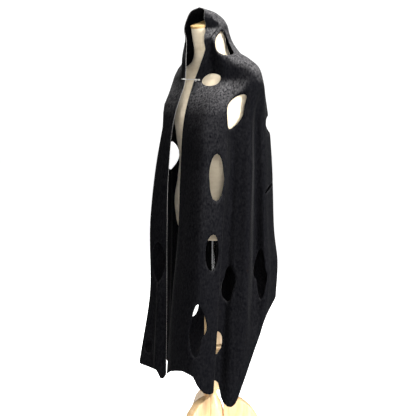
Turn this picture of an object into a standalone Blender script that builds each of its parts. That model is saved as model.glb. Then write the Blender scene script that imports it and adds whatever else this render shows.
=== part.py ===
# A long hooded cape of thick felted wool with round cut-outs, on a limbless dress form.
# Metres, +Z up, floor at z = 0. The cape opens towards -Y; the wearer's left is +X.
# Bearings are degrees round the stand from -Y (the front) towards the wearer's left.
import math

import bmesh
import bpy
import numpy as np
from mathutils import Vector
from mathutils.geometry import delaunay_2d_cdt

CM = 0.01
GAP = 0.0003          # what touching pieces leave between them
WOOL = 0.003          # thickness of the felted wool
STAND_X = 0.0103         # the stand's axis, so that the origin is below the middle of the whole
STAND_Y = 0.0532

# The cape from the crown seam down to the chest, in cm. The wearer's left edge of the face
# opening, the height of both edges, the widest point, the centre back and the right edge.
# "run" is how far down the cloth from the crown seam the section lies.
UPPER_COLUMNS = ("run", "left_x", "left_y", "edge_z", "side_x", "side_y", "side_z",
                 "back_y", "back_z", "right_x", "right_y")
UPPER_SECTIONS = {
    "crest": (0, 0.02, -7.4, 160.6, 0.02, -2.0, 159.3, 3.2, 157.0, -0.02, -7.4),
    "crown": (4, 3.8, -8.4, 159.4, 3.9, -2.4, 158.4, 3.2, 155.9, -3.4, -8.0),
    "brow": (8, 5.6, -7.3, 156.6, 6.5, -2.8, 155.8, 3.6, 153.9, -5.1, -8.4),
    "temple": (12, 6.6, -6.2, 153.4, 7.3, -2.8, 152.6, 4.4, 151.3, -6.0, -8.6),
    "cheek": (16, 5.4, -9.4, 149.8, 8.0, -2.2, 149.2, 6.2, 148.6, -4.8, -9.0),
    "collar": (20, 4.6, -9.4, 146.2, 10.2, -1.5, 146.0, 8.0, 146.0, -4.3, -9.4),
    "shoulder_in": (25, 3.0, -9.4, 142.6, 14.4, -0.6, 143.6, 9.4, 142.8, -4.0, -9.9),
    "shoulder_out": (30, 1.0, -9.2, 139.0, 18.4, 0.0, 140.6, 11.0, 139.0, -3.8, -10.2),
    "chest_top": (35, -0.4, -9.8, 135.4, 19.8, 0.4, 135.8, 12.4, 134.5, -3.7, -10.8),
}
COLLAR_RUN = 24       # the seam between hood and body
DIAGONAL = 0.72       # how full the rounding is between side and back

# The hanging part, from the left front edge round the back to the right front edge, in cm.
# "share" places the fold along the upper sections, "tuck" pulls it in round the neck, the
# bearings and reaches give it at chest, hip and hem, and "hem_z" is the hem's height.
FOLD_COLUMNS = ("share", "tuck", "chest_at", "hip_at", "hem_at", "chest", "waist", "hip",
                "shin", "hem", "hem_z")
FOLDS = {
    "left_edge": (0.0, 0.0, -6.6, -0.8, -11.6, 13.1, 16.0, 18.0, 19.4, 20.4, 37.7),
    "left_flat": (0.045, -0.5, 12, 13, 6, 14.6, 18.4, 21.0, 22.8, 23.8, 40.2),
    "left_turn": (0.085, 0.9, 34.5, 32, 27, 18.2, 23.4, 27.0, 28.4, 28.2, 39.8),
    "left_ridge": (0.125, 1.1, 54.5, 47.5, 40.5, 17.2, 21.3, 23.8, 25.2, 25.6, 33.6),
    "left_return": (0.165, 0.3, 62, 46, 39, 16.6, 19.2, 20.2, 20.6, 20.4, 34.8),
    "recess": (0.20, 0.0, 70, 60, 48, 15.8, 15.0, 14.6, 14.6, 14.4, 34.0),
    "tip": (0.225, 0.0, 77, 69, 58, 16.6, 16.4, 16.4, 17.0, 17.9, 26.4),
    "arm_ridge": (0.25, 0.0, 87, 79, 75, 18.2, 19.0, 19.4, 19.4, 17.8, 34.0),
    "arm_back": (0.275, 0.0, 103, 106, 100, 16.4, 15.9, 15.8, 16.0, 17.6, 46.0),
    "side_fold": (0.305, 0.0, 108, 106, 108, 18.2, 19.0, 19.4, 20.0, 19.2, 53.0),
    "wing_inner": (0.335, 0.0, 120, 120, 120, 18.4, 19.6, 20.2, 21.0, 19.9, 56.0),
    "wing": (0.37, 0.0, 135, 135, 134, 18.8, 20.7, 21.5, 22.9, 22.4, 60.0),
    "wing_back": (0.41, 0.0, 149, 150, 150, 16.8, 19.4, 20.2, 21.0, 20.6, 56.0),
    "back_valley": (0.455, 0.0, 164, 165, 165, 14.4, 15.6, 16.6, 17.0, 17.4, 44.0),
    "centre_back": (0.50, 0.0, 180, 180, 180, 14.6, 17.6, 19.6, 20.6, 21.6, 35.0),
    "back_fold": (0.545, 0.0, 196, 195, 195, 14.4, 15.8, 16.8, 17.4, 17.8, 42.0),
    "right_wing_back": (0.59, 0.0, 211, 210, 210, 16.8, 19.4, 20.4, 21.4, 20.8, 40.0),
    "right_wing": (0.63, 0.0, 226, 226, 227, 18.6, 20.6, 21.4, 22.6, 22.0, 33.0),
    "right_recess": (0.68, 0.0, 246, 246, 248, 17.2, 16.6, 16.6, 17.0, 18.0, 30.0),
    "right_arm": (0.735, 0.0, 269, 270, 271, 17.8, 18.8, 19.4, 20.0, 20.4, 31.0),
    "right_valley": (0.79, 0.0, 288, 289, 291, 17.2, 17.6, 17.6, 18.2, 19.6, 36.4),
    "right_ridge": (0.85, 0.6, 307, 309, 310, 17.0, 20.4, 22.4, 22.8, 26.6, 36.8),
    "right_flat": (0.91, 1.3, 320, 322, 326, 15.8, 19.2, 20.6, 20.6, 22.6, 36.8),
    "right_curl": (0.96, 1.2, 329, 330, 337, 14.9, 18.0, 19.2, 21.0, 22.4, 36.4),
    "right_edge": (1.0, 0.0, 334.9, 337.3, 343.7, 14.4, 17.1, 17.9, 18.6, 19.6, 35.8),
}
CHEST_Z, WAIST_Z, HIP_Z = 125, 105, 85
BODY_RUNS = (46, 66, 86, 110, 134)    # chest, waist, hip, shin and hem
TUCKED = {"temple": 0.1, "cheek": 0.4, "collar": 0.9, "shoulder_in": 1.0, "shoulder_out": 0.7,
          "chest_top": 0.3}

# The hem is cut to its own curve: how much lower it is than the fold heights above, in cm.
HEM_COLUMNS = ("fold", "lower")
HEM_CUT = (
    (0, 2.4), (0.5, 2.2), (1, 1.9), (1.5, 1.0), (2, 1.2), (2.25, 3.4), (2.5, 3.5), (2.75, 2.3),
    (3, 1.1), (4, 0.5), (4.5, 0.7), (5, 1.4), (5.25, 4.6), (5.5, 3.6), (5.75, 1.8), (6, 1.2),
    (6.25, 2.0), (6.5, 3.1), (6.75, 3.3), (7, 2.4), (7.5, 1.5), (8, 1.3), (9, 0.8), (12, 0),
    (20, 0.6), (22, 1.4), (23, 0.4), (23.25, 1.2), (23.5, 3.0), (23.75, 3.0), (24, 1.3),
)
# The hood's left front edge is turned in towards the neck, and the right shoulder hangs in.
TURN_COLUMNS = ("run", "turn_x", "turn_y")
RIM_TURN = ((0, 0, 0), (2, 0, 0), (4, -0.3, -0.2), (8, -1.8, -1.9), (12, -3.2, -2.1),
            (16, -0.9, -0.4), (20, 0, 0), (134, 0, 0))
SHOULDER_COLUMNS = ("run", "inward")
SHOULDER_HANG = ((0, 0), (17, 0), (21, 1.1), (26, 2.9), (28.5, 3.2), (31, 2.8), (33, 2.0),
                 (35, 1.5), (37.5, 0.8), (40, 0), (43, -0.8), (46, -0.7), (51, 0), (134, 0))
SHOULDER_FOLDS = (17.2, 23.8)

# The cut-outs: place by fold, counted from the left front edge, and by height; the width and
# height of the cut along the cloth in cm, and its tilt in degrees.
HOLE_COLUMNS = ("fold", "z", "across", "tall", "tilt")
HOLES = {
    "hood_left": (4.59, 148.0, 7.1, 9.4, -10),
    "hood_back": (17.0, 148.5, 8.0, 8.0, 0),
    "collarbone": (1.38, 136.1, 7.2, 4.4, 10),
    "armpit": (4.6, 125.6, 6.5, 13.0, -10),
    "shoulder_back": (10.6, 120.8, 8.0, 6.4, 0),
    "hip": (2.59, 103.9, 5.6, 15.7, 0),
    "knee": (2.55, 79.6, 5.2, 12.1, 0),
    "ankle": (2.07, 54.0, 6.1, 18.1, 0),
    "recess_high": (5.45, 67.3, 5.2, 12.4, 0),
    "recess_low": (4.56, 47.2, 7.4, 8.1, 0),
    "arm_slit": (10.0, 98.9, 9.5, 1.4, 20),
    "wing_low": (8.54, 69.4, 5.0, 18.1, 0),
    "right_front": (22.52, 73.2, 7.8, 14.4, 0),
    "right_disc": (21.63, 42.6, 4.4, 4.4, 0),
    "right_waist": (19.6, 109.8, 10.5, 10.2, 0),
    "right_armpit": (19.9, 127.0, 8.0, 10.0, 0),
    "right_back_chest": (18.0, 127.0, 9.0, 9.0, 0),
    "right_knee": (18.16, 53.9, 8.6, 9.6, 0),
    "back_high": (15.3, 126.0, 9.5, 10.0, 0),
    "back_left": (12.3, 103.0, 10.0, 11.0, 0),
    "back_right": (16.0, 99.0, 10.0, 11.0, 0),
    "back_low": (12.8, 86.0, 8.0, 9.0, 0),
    "back_knee": (15.98, 75.5, 6.3, 5.3, 0),
    "back_hem": (15.3, 46.0, 8.0, 7.0, 0),
}

# The form: height, half width, half depth and how far forward each section's middle lies, cm.
FORM_COLUMNS = ("z", "half_width", "half_depth", "back", "tilt")
FORM_SECTIONS = (
    (81.0, 9.6, 6.8, 0.0, 0), (81.6, 11.4, 8.0, 0.0, 0), (84.0, 13.6, 9.7, 0.0, 0),
    (89.0, 15.1, 10.9, 0.0, 0), (95.5, 15.5, 11.3, 0.0, 0), (102.0, 14.2, 10.6, 0.0, 0),
    (109.0, 13.3, 10.1, 0.0, 0), (117.0, 14.4, 10.7, -0.3, 0), (123.5, 15.0, 10.9, -0.6, 0),
    (128.0, 15.5, 9.8, -0.2, 0), (133.0, 16.4, 8.2, 0.3, 0), (137.0, 16.0, 7.0, 0.4, 0),
    (139.5, 14.2, 6.4, 0.2, 0), (141.3, 11.0, 5.9, -0.2, 0), (142.6, 8.4, 5.6, -0.7, 0.04),
    (144.2, 6.9, 5.8, -0.9, 0.1), (147.0, 5.8, 5.7, -1.4, 0.2), (151.0, 5.5, 5.5, -2.5, 0.3),
    (154.8, 5.4, 5.4, -3.5, 0.3),
)
FORM_SIDES = 28
NECK_LEAN = -3.5 * CM
NECK_TOP = 154.8 * CM
NECK_TILT = math.atan(0.3)

ROD_RADIUS = 0.008
FORM_BOTTOM = 0.81
COLUMN_RADIUS = 0.033
COLUMN_TOP = 0.60
COLUMN_FOOT = 0.262
HUB_FOOT = 0.145
LEG_THICK = 0.032
LEG_ROOT = 0.0378     # how far from the axis a leg starts, just clear of the hub
LEG_BEARINGS = (4, 124, 244)


def table(columns, rows):
    """A named-column view of a table, one array for each column."""
    return {name: np.array([row[i] for row in rows], float) for i, name in enumerate(columns)}


def spline_weights(knots, at):
    """The share that each knot's value has in a smooth curve read at the given places."""
    knots = np.asarray(knots, float)
    values = np.eye(len(knots))
    span = np.diff(knots)[:, None]
    slope = np.diff(values, axis=0) / span
    tangent = np.vstack([slope[:1], (slope[1:] * span[:-1] + slope[:-1] * span[1:])
                         / (span[1:] + span[:-1]), slope[-1:]])
    at = np.clip(np.asarray(at, float), knots[0], knots[-1])
    i = np.clip(np.searchsorted(knots, at, side="right") - 1, 0, len(knots) - 2)
    width = (knots[i + 1] - knots[i])[:, None]
    t = (at[:, None] - knots[i][:, None]) / width
    return ((2 * t**3 - 3 * t**2 + 1) * values[i] + (t**3 - 2 * t**2 + t) * width * tangent[i]
            + (3 * t**2 - 2 * t**3) * values[i + 1] + (t**3 - t**2) * width * tangent[i + 1])


def upper_row(section, share, tuck, tucked):
    """The points of one upper section at each fold, drawn through its five named points."""
    s = dict(zip(UPPER_COLUMNS, section))
    slant_y = s["side_y"] + DIAGONAL * (s["back_y"] - s["side_y"])
    slant_z = (s["side_z"] + s["back_z"]) / 2
    corners = np.array([
        (s["left_x"], s["left_y"], s["edge_z"]),
        (s["side_x"], s["side_y"], s["side_z"]),
        (DIAGONAL * s["side_x"], slant_y, slant_z),
        (0, s["back_y"], s["back_z"]),
        (-DIAGONAL * s["side_x"], slant_y, slant_z),
        (-s["side_x"], s["side_y"], s["side_z"]),
        (s["right_x"], s["right_y"], s["edge_z"]),
    ])
    row = spline_weights((0, 0.25, 0.37, 0.5, 0.63, 0.75, 1), share) @ corners
    outward = row[:, :2] / np.maximum(np.linalg.norm(row[:, :2], axis=1), 1)[:, None]
    row[:, :2] += outward * (tuck * tucked)[:, None]
    return row


def control_net():
    """The cape's fold lines at each level from the crown seam to the hem, in metres."""
    folds = table(FOLD_COLUMNS, FOLDS.values())
    net = [upper_row(section, folds["share"], folds["tuck"], TUCKED.get(name, 0))
           for name, section in UPPER_SECTIONS.items()]
    shin_z = (HIP_Z + folds["hem_z"]) / 2
    flat = np.ones(len(shin_z))
    levels = (
        (folds["chest_at"], folds["chest"], CHEST_Z * flat),
        ((folds["chest_at"] + folds["hip_at"]) / 2, folds["waist"], WAIST_Z * flat),
        (folds["hip_at"], folds["hip"], HIP_Z * flat),
        ((folds["hip_at"] + folds["hem_at"]) / 2, folds["shin"], shin_z),
        (folds["hem_at"], folds["hem"], folds["hem_z"]),
    )
    for bearing, reach, z in levels:
        turn = np.radians(bearing)
        net.append(np.stack([reach * np.sin(turn), -reach * np.cos(turn), z], axis=1))
    return np.array(net) * CM


NET = control_net()
RUNS = [section[0] for section in UPPER_SECTIONS.values()] + list(BODY_RUNS)
FOLD_COUNT = len(FOLDS)
MIDDLE = list(FOLDS).index("centre_back")


def cloth_at(fold, run):
    """Points of the cape's outer face, by fold number round it and cm down it."""
    across = spline_weights(np.arange(FOLD_COUNT), fold)
    down = spline_weights(RUNS, run)
    place = np.einsum("pa,pb,bak->pk", across, down, NET, optimize=True)
    hem = table(HEM_COLUMNS, HEM_CUT)
    to_hem = np.clip((np.asarray(run) - RUNS[-3]) / (RUNS[-1] - RUNS[-3]), 0, 1) ** 2
    place[:, 2] -= np.interp(fold, hem["fold"], hem["lower"]) * to_hem * CM
    turn = table(TURN_COLUMNS, RIM_TURN)
    at_rim = np.clip(1 - np.asarray(fold) / 0.7, 0, 1) * CM
    place[:, 0] += np.interp(run, turn["run"], turn["turn_x"]) * at_rim
    place[:, 1] += np.interp(run, turn["run"], turn["turn_y"]) * at_rim
    hang = table(SHOULDER_COLUMNS, SHOULDER_HANG)
    start, end = SHOULDER_FOLDS
    over = np.sin(np.pi * np.clip((np.asarray(fold) - start) / (end - start), 0, 1)) ** 2
    inward = np.interp(run, hang["run"], hang["inward"]) * over * CM
    reach = np.maximum(np.linalg.norm(place[:, :2], axis=1), 0.03)
    place[:, :2] *= (1 - inward / reach)[:, None]
    return place


def slopes(fold, run):
    """How the outer face moves for one fold across and for one cm down."""
    h = 0.02
    right, left = np.minimum(fold + h, FOLD_COUNT - 1), np.maximum(fold - h, 0)
    low, high = np.minimum(run + h, RUNS[-1]), np.maximum(run - h, RUNS[0])
    across = (cloth_at(right, run) - cloth_at(left, run)) / (right - left)[:, None]
    down = (cloth_at(fold, low) - cloth_at(fold, high)) / (low - high)[:, None]
    return across, down


def hole_outline(hole, sides):
    """A cut-out's outline on the cloth, walked out from its centre by true length."""
    h = dict(zip(HOLE_COLUMNS, hole))
    runs = np.linspace(2, RUNS[-1], 600)
    height = cloth_at(np.full(len(runs), h["fold"]), runs)[:, 2]
    centre = (h["fold"], runs[np.argmin(np.abs(height - h["z"] * CM))])
    turn = np.arange(sides) * 2 * math.pi / sides
    tilt = math.radians(h["tilt"])
    radius = 0.5 * CM / np.hypot(np.cos(turn - tilt) / h["across"],
                                 np.sin(turn - tilt) / h["tall"])
    steps = 14
    at = np.tile(np.array(centre, float), (sides, 1))
    across, down = (np.linalg.norm(x[0]) for x in slopes(at[:1, 0], at[:1, 1]))
    way = np.stack([np.cos(turn) / across, -np.sin(turn) / down], axis=1)
    for _ in range(steps):
        across, down = slopes(at[:, 0], at[:, 1])
        speed = np.linalg.norm(across * way[:, :1] + down * way[:, 1:], axis=1)
        at = at + way * (radius / steps / np.maximum(speed, 1e-9))[:, None]
        at = np.clip(at, (0.1, 1), (FOLD_COUNT - 1.1, RUNS[-1] - 1))
    return at


def inside(points, loop):
    """Which points lie inside a closed outline."""
    x, y = points[:, :1], points[:, 1:]
    x0, y0 = loop[:, 0], loop[:, 1]
    x1, y1 = np.roll(x0, -1), np.roll(y0, -1)
    rise = np.where(y1 == y0, 1e-12, y1 - y0)
    crosses = ((y0 > y) != (y1 > y)) & (x < (x1 - x0) * (y - y0) / rise + x0)
    return crosses.sum(axis=1) % 2 == 1


def spaced(stops, steps):
    """Places from stop to stop, with the given number of steps in each interval."""
    parts = [np.linspace(a, b, n + 1)[:-1] for a, b, n in zip(stops, stops[1:], steps)]
    return np.concatenate(parts + [[stops[-1]]])


def cloth_net(folds, runs, holes):
    """Triangles over a patch of the cape with its cut-outs left open."""
    stretch = np.array([1.0, 1 / 16])      # makes the pattern's cells about square
    grid = np.array([(f, r) for r in runs for f in folds])
    edge = (np.isin(grid[:, 0], (folds[0], folds[-1]))
            | np.isin(grid[:, 1], (runs[0], runs[-1])))
    loops = [loop for loop in holes
             if loop[:, 0].min() > folds[0] and loop[:, 0].max() < folds[-1]
             and loop[:, 1].min() > runs[0] and loop[:, 1].max() < runs[-1]]
    keep = np.ones(len(grid), bool)
    for loop in loops:
        middle = loop.mean(axis=0)
        keep &= ~inside(grid, middle + (loop - middle) * 1.12)
    keep |= edge
    grid, edge = grid[keep], edge[keep]
    points = np.concatenate([grid] + loops)
    order = [i for i in np.flatnonzero(edge)]
    border = []
    for side in (0, 1):
        for end in ((folds[0], folds[-1]), (runs[0], runs[-1]))[side]:
            row = sorted((i for i in order if grid[i, side] == end),
                         key=lambda i: grid[i, 1 - side])
            border += list(zip(row, row[1:]))
    start = len(grid)
    for loop in loops:
        ring = range(start, start + len(loop))
        border += list(zip(ring, list(ring[1:]) + [ring[0]]))
        start += len(loop)
    flat = [Vector(p * stretch) for p in points]
    flat, _, faces, _, _, _ = delaunay_2d_cdt(flat, [(int(a), int(b)) for a, b in border],
                                              [], 0, 1e-7)
    points = np.array([tuple(p) for p in flat]) / stretch
    faces = np.array(faces)
    middles = points[faces].mean(axis=1)
    open_air = np.zeros(len(faces), bool)
    for loop in loops:
        open_air |= inside(middles, loop)
    faces = faces[~open_air]
    used, faces = np.unique(faces, return_inverse=True)
    return points[used], faces.reshape(-1, 3)


def cloth_wall(points, faces, side):
    """A closed wall of wool behind the outer face, as points and faces."""
    fold, run = points[:, 0], points[:, 1]
    outer = cloth_at(fold, run)
    across, down = slopes(fold, run)
    out = np.cross(across, down)
    out /= np.linalg.norm(out, axis=1)[:, None]
    if (out[:, :2] * outer[:, :2]).sum() < 0:
        out = -out
    at_seam = (run < 8) | (np.abs(fold - MIDDLE) < 0.5)
    out[:, 0] = np.where(at_seam & (np.abs(outer[:, 0]) < 0.001), 0, out[:, 0])
    out /= np.linalg.norm(out, axis=1)[:, None]
    inner = outer - out * WOOL
    outer[:, 0] = np.where(at_seam, side * np.maximum(side * outer[:, 0], GAP / 2), outer[:, 0])
    inner[:, 0] = np.where(at_seam, side * np.maximum(side * inner[:, 0], GAP / 2), inner[:, 0])
    a, b, c = (outer[faces[:, k]] for k in range(3))
    if (np.cross(b - a, c - a) * out[faces[:, 0]]).sum() < 0:
        faces = faces[:, ::-1]
    edges = np.concatenate([faces[:, [0, 1]], faces[:, [1, 2]], faces[:, [2, 0]]])
    there = {tuple(e) for e in edges.tolist()}
    rim = [(i, j) for i, j in there if (j, i) not in there]
    n = len(outer)
    all_faces = faces.tolist() + (faces[:, ::-1] + n).tolist()
    all_faces += [(j, i, i + n, j + n) for i, j in rim]
    return np.concatenate([outer, inner]), all_faces


def material(name, colour, rough, metal=0.0):
    finish = bpy.data.materials.new(name)
    finish.use_nodes = True
    shader = finish.node_tree.nodes["Principled BSDF"]
    shader.inputs["Base Color"].default_value = (*colour, 1)
    shader.inputs["Roughness"].default_value = rough
    shader.inputs["Metallic"].default_value = metal
    finish.diffuse_color = (*colour, 1)
    return finish


def keep(obj, finish):
    """Names the piece's material, files it with the cape and stands it on the stand's axis."""
    obj.data.materials.clear()
    obj.data.materials.append(finish)
    for old in list(obj.users_collection):
        old.objects.unlink(obj)
    cape.objects.link(obj)
    obj.parent = axis
    return obj


def mesh_piece(name, points, faces, finish, smooth=True):
    mesh = bpy.data.meshes.new(name)
    mesh.from_pydata([tuple(p) for p in np.asarray(points).tolist()], [], faces)
    mesh.validate()
    mesh.update()
    if smooth:
        mesh.shade_smooth()
        mesh.set_sharp_from_angle(angle=math.radians(40))
    obj = bpy.data.objects.new(name, mesh)
    bpy.context.scene.collection.objects.link(obj)
    return keep(obj, finish)


def turned_piece(name, profile, finish, steps=24, at=(0, 0, 0)):
    """A turned piece from (radius, height) pairs, top to bottom down its outer side."""
    mesh = bpy.data.meshes.new(name)
    points = [(r, 0, z) for r, z in profile]
    mesh.from_pydata(points, [(i, i + 1) for i in range(len(points) - 1)], [])
    obj = bpy.data.objects.new(name, mesh)
    bpy.context.scene.collection.objects.link(obj)
    obj.location = at
    turn = obj.modifiers.new("turn", "SCREW")
    turn.axis = "Z"
    turn.angle = 2 * math.pi
    turn.steps = turn.render_steps = steps
    turn.use_merge_vertices = True
    turn.merge_threshold = 0.00005
    turn.use_smooth_shade = True
    return keep(obj, finish)


def cape_pieces():
    """The four pieces of wool, with their cut-outs."""
    holes = [hole_outline(hole, 20) for hole in HOLES.values()]
    part = 0.04 / 2       # half the gap at a seam, in cm down the cloth
    half = 0.003          # and in folds across it
    hood_runs = spaced([0, 4, 8, 12, 16, 20, COLLAR_RUN - part], [2, 2, 2, 2, 1, 1])
    body_runs = spaced([COLLAR_RUN + part, 27, 31, 35, 46, 66, 86, 110, 134],
                       [1, 1, 1, 2, 3, 3, 3, 4])
    wool = material("black_wool", (0.012, 0.012, 0.014), 0.95)
    for side, ends in ((1, (0, MIDDLE - half)), (-1, (MIDDLE + half, FOLD_COUNT - 1))):
        name = "left" if side > 0 else "right"
        count = MIDDLE if side > 0 else FOLD_COUNT - 1 - MIDDLE
        for piece, runs in (("hood", hood_runs), ("cape", body_runs)):
            folds = np.linspace(*ends, count * 3 + 1)
            points, faces = cloth_net(folds, runs, holes)
            outline, all_faces = cloth_wall(points, faces, side)
            mesh_piece(f"{piece}_{name}", outline, all_faces, wool)


def outward(fold, run):
    """The direction straight out of the cloth at each place."""
    across, down = slopes(fold, run)
    out = np.cross(across, down)
    out /= np.linalg.norm(out, axis=1)[:, None]
    return out * np.sign((out[:, :2] * cloth_at(fold, run)[:, :2]).sum(axis=1))[:, None]


def laid_patch(name, folds, runs, lift, thick, finish):
    """A flat piece that lies just off the cloth, between the given folds and runs."""
    grid = np.array([(f, r) for r in runs for f in folds], float)
    base, out = cloth_at(*grid.T), outward(*grid.T)
    bottom, top = base + out * lift, base + out * (lift + thick)
    m, n = len(folds), len(grid)
    cells = [(r * m + c, r * m + c + 1, (r + 1) * m + c + 1, (r + 1) * m + c)
             for r in range(len(runs) - 1) for c in range(m - 1)]
    ring = (list(range(m)) + [r * m + m - 1 for r in range(1, len(runs))]
            + list(range(n - 2, n - m - 1, -1)) + [r * m for r in range(len(runs) - 2, 0, -1)])
    faces = [tuple(i + n for i in cell) for cell in cells] + [cell[::-1] for cell in cells]
    faces += [(i, j, j + n, i + n) for i, j in zip(ring, ring[1:] + ring[:1])]
    a, b, c = (top[i] for i in cells[0][:3])
    if np.cross(b - a, c - a) @ out[0] < 0:
        faces = [face[::-1] for face in faces]
    return mesh_piece(name, np.concatenate([bottom, top]), faces, finish)


def closure_pin(metal, leather):
    """The bar across the throat, the ring round it and the leather tab below."""
    ends = np.array(PIN_ENDS)
    right, left = cloth_at(*ends.T) + np.array(PIN_LIFTS)
    along = (left - right) / np.linalg.norm(left - right)
    steps = ((0, 0.0011), (0.003, 0.0019), (0.011, 0.0024), (0.014, 0.0016), (0.060, 0.0016))
    length = float(np.linalg.norm(left - right))
    profile = [(0, 0)] + [(r, t) for t, r in steps] + [
        (0.0016, length - 0.008), (0.0028, length - 0.006), (0.0028, length - 0.001),
        (0.0012, length), (0, length)]
    turn = Vector(along).to_track_quat("-Z", "Y").to_euler()
    bar = turned_piece("pin_bar", [(r, -t) for r, t in profile], metal, steps=12, at=right)
    bar.rotation_euler = turn
    middle = left - along * 0.016 - np.array([0, 0, 0.0014])
    bpy.ops.mesh.primitive_torus_add(major_radius=0.0042, minor_radius=0.0009,
                                     major_segments=24, minor_segments=8, location=middle,
                                     rotation=turn)
    ring = bpy.context.object
    ring.name = ring.data.name = "pin_ring"
    ring.data.shade_smooth()
    keep(ring, metal)
    laid_patch("pin_tab", TAB_FOLDS, TAB_RUNS, 0.0018, 0.0022, leather)


def form_torso(finish):
    """The limbless torso and neck, lofted through its sections and closed at both ends."""
    f = table(FORM_COLUMNS, FORM_SECTIONS)
    heights = spaced(list(f["z"]), [1, 1, 2, 2, 2, 2, 2, 2, 2, 1, 1, 1, 1, 1, 1, 1, 1, 1])
    weights = spline_weights(f["z"], heights)
    width, depth, back, tilt = (weights @ f[k] for k in FORM_COLUMNS[1:])
    turn = np.arange(FORM_SIDES) * 2 * math.pi / FORM_SIDES
    rings = [np.stack([w * np.sin(turn), b - d * np.cos(turn), z - t * d * np.cos(turn)], axis=1)
             for z, w, d, b, t in zip(heights, width, depth, back, tilt)]
    n = FORM_SIDES
    faces = [tuple(range(n))[::-1], tuple(range((len(rings) - 1) * n, len(rings) * n))]
    faces += [(r * n + i, r * n + (i + 1) % n, (r + 1) * n + (i + 1) % n, (r + 1) * n + i)
              for r in range(len(rings) - 1) for i in range(n)]
    mesh_piece("form_torso", np.concatenate(rings) * CM, faces, finish)


def stand_leg(name, bearing, finish):
    """One flat curved leg, an outline of the given thickness stood on edge."""
    upper = ((LEG_ROOT, 0.243), (0.075, 0.236), (0.110, 0.213), (0.146, 0.166),
             (0.185, 0.105), (0.225, 0.058), (0.270, 0.034), (0.312, 0.022), (0.322, 0.010))
    lower = ((0.316, 0.0), (0.262, 0.0), (0.236, 0.006), (0.196, 0.026), (0.155, 0.062),
             (0.120, 0.110), (0.088, 0.143), (LEG_ROOT, 0.150))
    curve = bpy.data.curves.new(name, "CURVE")
    curve.dimensions = "2D"
    curve.fill_mode = "BOTH"
    curve.extrude = LEG_THICK / 2
    line = curve.splines.new("POLY")
    outline = upper + lower
    line.points.add(len(outline) - 1)
    for point, (r, z) in zip(line.points, outline):
        point.co = (r, z, 0, 1)
    line.use_cyclic_u = True
    guide = bpy.data.objects.new(name, curve)
    bpy.context.scene.collection.objects.link(guide)
    mesh = bpy.data.meshes.new_from_object(
        guide.evaluated_get(bpy.context.evaluated_depsgraph_get()))
    bpy.data.objects.remove(guide)
    bm = bmesh.new()
    bm.from_mesh(mesh)
    bmesh.ops.remove_doubles(bm, verts=bm.verts, dist=0.00005)
    bmesh.ops.recalc_face_normals(bm, faces=bm.faces)
    bm.to_mesh(mesh)
    bm.free()
    obj = bpy.data.objects.new(name, mesh)
    bpy.context.scene.collection.objects.link(obj)
    obj.rotation_euler = (math.pi / 2, 0, math.radians(bearing - 90))
    return keep(obj, finish)


def tube(name, points, radius, finish, closed=False):
    curve = bpy.data.curves.new(name, "CURVE")
    curve.dimensions = "3D"
    curve.bevel_depth = radius
    curve.bevel_resolution = 2
    curve.use_fill_caps = True
    line = curve.splines.new("POLY")
    line.points.add(len(points) - 1)
    for point, place in zip(line.points, points):
        point.co = (*place, 1)
    line.use_cyclic_u = closed
    obj = bpy.data.objects.new(name, curve)
    bpy.context.scene.collection.objects.link(obj)
    return keep(obj, finish)


PIN_ENDS = ((FOLD_COUNT - 1.3, 33.6), (0.62, 34.4))     # right end and left end, fold and run
PIN_LIFTS = ((0, -0.0120, 0), (0, -0.0115, 0.001))
TAB_FOLDS = (0.24, 0.36, 0.50)
TAB_RUNS = (36.0, 37.2, 38.4, 39.4)

for old in list(bpy.data.objects):
    bpy.data.objects.remove(old)
cape = bpy.data.collections.new("wool_cape_on_dress_form")
bpy.context.scene.collection.children.link(cape)
axis = bpy.data.objects.new("stand_axis", None)
axis.location = (STAND_X, STAND_Y, 0)
cape.objects.link(axis)

cape_pieces()
closure_pin(material("steel_pin", (0.62, 0.62, 0.64), 0.3, 1.0),
            material("black_leather", (0.02, 0.02, 0.022), 0.5))

linen = material("linen", (0.56, 0.50, 0.40), 0.9)
form_torso(linen)

gilt = material("gilt_wood", (0.72, 0.48, 0.16), 0.4)
neck_cap = turned_piece("neck_cap", (
    (0, 0.0205), (0.007, 0.0195), (0.020, 0.0155), (0.042, 0.0115), (0.053, 0.0105),
    (0.0555, 0.008), (0.0555, 0.0028), (0.0545, 0.0006), (0, 0.0006)), gilt,
    at=(0, NECK_LEAN, NECK_TOP))
neck_cap.rotation_euler.x = NECK_TILT

chrome = material("chrome", (0.75, 0.75, 0.76), 0.2, 1.0)
turned_piece("stand_rod", ((0, FORM_BOTTOM - GAP), (ROD_RADIUS, FORM_BOTTOM - GAP),
                           (ROD_RADIUS, COLUMN_TOP + GAP), (0, COLUMN_TOP + GAP)),
             chrome, steps=16)

beech = material("light_wood", (0.66, 0.47, 0.26), 0.45)
ring_z = 0.424
turned_piece("stand_column", (
    (0, COLUMN_TOP), (0.018, COLUMN_TOP), (0.022, COLUMN_TOP - 0.006),
    (0.030, COLUMN_TOP - 0.022), (COLUMN_RADIUS, COLUMN_TOP - 0.05),
    (COLUMN_RADIUS, ring_z + 0.008), (COLUMN_RADIUS + 0.003, ring_z + 0.004),
    (COLUMN_RADIUS + 0.003, ring_z - 0.004), (COLUMN_RADIUS, ring_z - 0.008),
    (COLUMN_RADIUS, COLUMN_FOOT + 0.012), (0.029, COLUMN_FOOT + 0.003),
    (0.022, COLUMN_FOOT + GAP), (0, COLUMN_FOOT + GAP)), beech)
turned_piece("stand_hub", (
    (0, COLUMN_FOOT), (0.016, COLUMN_FOOT), (0.0125, COLUMN_FOOT - 0.010),
    (0.0145, COLUMN_FOOT - 0.022), (0.025, COLUMN_FOOT - 0.042), (0.034, COLUMN_FOOT - 0.068),
    (0.0372, COLUMN_FOOT - 0.090), (0.0372, HUB_FOOT + 0.006), (0.032, HUB_FOOT),
    (0, HUB_FOOT)), beech)
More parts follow.
